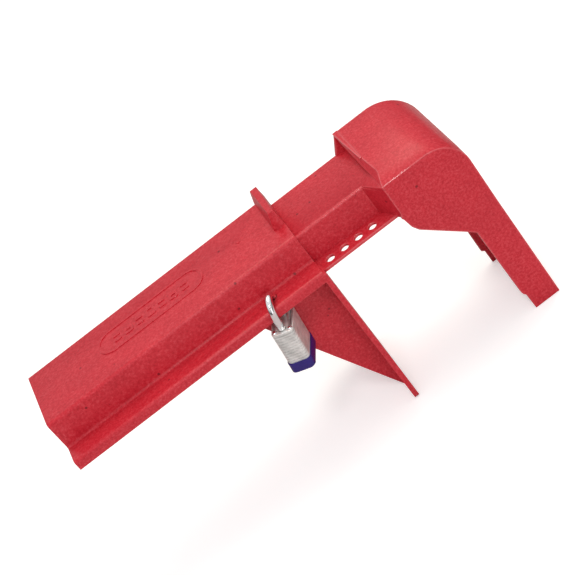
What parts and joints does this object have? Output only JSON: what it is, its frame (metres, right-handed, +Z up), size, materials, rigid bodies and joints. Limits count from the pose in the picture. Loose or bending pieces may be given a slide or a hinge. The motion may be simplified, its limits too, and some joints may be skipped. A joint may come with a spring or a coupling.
{
  "type": "valve handle lockout with safety padlock",
  "caption": "Telescoping red plastic valve-handle lockout: channel cover with wing, slide with hooked hood, and a small laminated padlock through the flange holes",
  "frame": {"origin": "on the pipe face of the wing, on the middle line of the cover, 95 mm below the flange top", "axes": "X along the cover towards the hook, Y away from the flange side, Z up"},
  "size_m": [0.4509, 0.1326, 0.2311],
  "materials": {
    "cover_plastic": "moulded red plastic, fine speckled grain, soft gloss",
    "hook_plastic": "moulded red plastic, fine speckled grain, soft gloss",
    "shackle_chrome": "polished plating",
    "plate_steel": "zinc-plated pressed sheet",
    "rivet_steel": "peened bright heads",
    "bumper_plastic": "deep blue-violet moulded plastic",
    "inner_steel": "plain steel",
    "lock_brass": "turned brass"
  },
  "bodies": {
    "cover": {"sleeve": "cover_plastic"},
    "hook": {"slide_hook": "hook_plastic"},
    "shackle": {"shackle": "shackle_chrome"},
    "lock_body": {"top_plate": "plate_steel", "latch_plates": "plate_steel", "pin_plates": "plate_steel", "bottom_plate": "plate_steel", "rivets": "rivet_steel", "bumper": "bumper_plastic", "cylinder_shell": "lock_brass", "chamber_cap": "lock_brass"},
    "plug": {"key_plug": "lock_brass", "plug_cam": "lock_brass", "cylinder_clip": "inner_steel"},
    "latch": {"latch": "inner_steel", "latch_spring": "inner_steel"},
    "stack_1": {"key_pin_1": "lock_brass", "driver_pin_1": "inner_steel", "pin_spring_1": "inner_steel"},
    "stack_2": {"key_pin_2": "lock_brass", "driver_pin_2": "inner_steel", "pin_spring_2": "inner_steel"},
    "stack_3": {"key_pin_3": "lock_brass", "driver_pin_3": "inner_steel", "pin_spring_3": "inner_steel"},
    "stack_4": {"key_pin_4": "lock_brass", "driver_pin_4": "inner_steel", "pin_spring_4": "inner_steel"}
  },
  "joints": [
    {"name": "slide_play", "type": "slide", "parent": "cover", "child": "hook", "axis": [1, 0, 0], "range_m": [-0.0005, 0.0005]},
    {"name": "lock_swing", "type": "hinge", "parent": "cover", "child": "shackle", "pos_m": [-0.05154, -0.0495, 0.095], "axis": [0.1045, 0, 0.9945], "range_deg": [-4, 40]},
    {"name": "shackle_play", "type": "slide", "parent": "shackle", "child": "lock_body", "axis": [0.1045, 0, 0.9945], "range_m": [-0.0004, 0.0004]},
    {"name": "plug_play", "type": "hinge", "parent": "lock_body", "child": "plug", "pos_m": [-0.05906, -0.0607, 0.06462], "axis": [0.1045, 0, 0.9945], "range_deg": [-0.5, 0.5]},
    {"name": "latch_slide", "type": "slide", "parent": "lock_body", "child": "latch", "axis": [0.3564, 0.9336, -0.0375], "range_m": [0, 0.002], "stiffness_N_per_m": 150, "springref_m": -0.002},
    {"name": "pin_lift_1", "type": "slide", "parent": "lock_body", "child": "stack_1", "axis": [-0.3564, -0.9336, 0.0375], "range_m": [0, 0.0012], "stiffness_N_per_m": 60, "springref_m": -0.001},
    {"name": "pin_lift_2", "type": "slide", "parent": "lock_body", "child": "stack_2", "axis": [-0.3564, -0.9336, 0.0375], "range_m": [0, 0.0012], "stiffness_N_per_m": 60, "springref_m": -0.001},
    {"name": "pin_lift_3", "type": "slide", "parent": "lock_body", "child": "stack_3", "axis": [-0.3564, -0.9336, 0.0375], "range_m": [0, 0.0012], "stiffness_N_per_m": 60, "springref_m": -0.001},
    {"name": "pin_lift_4", "type": "slide", "parent": "lock_body", "child": "stack_4", "axis": [-0.3564, -0.9336, 0.0375], "range_m": [0, 0.0012], "stiffness_N_per_m": 60, "springref_m": -0.001}
  ]
}
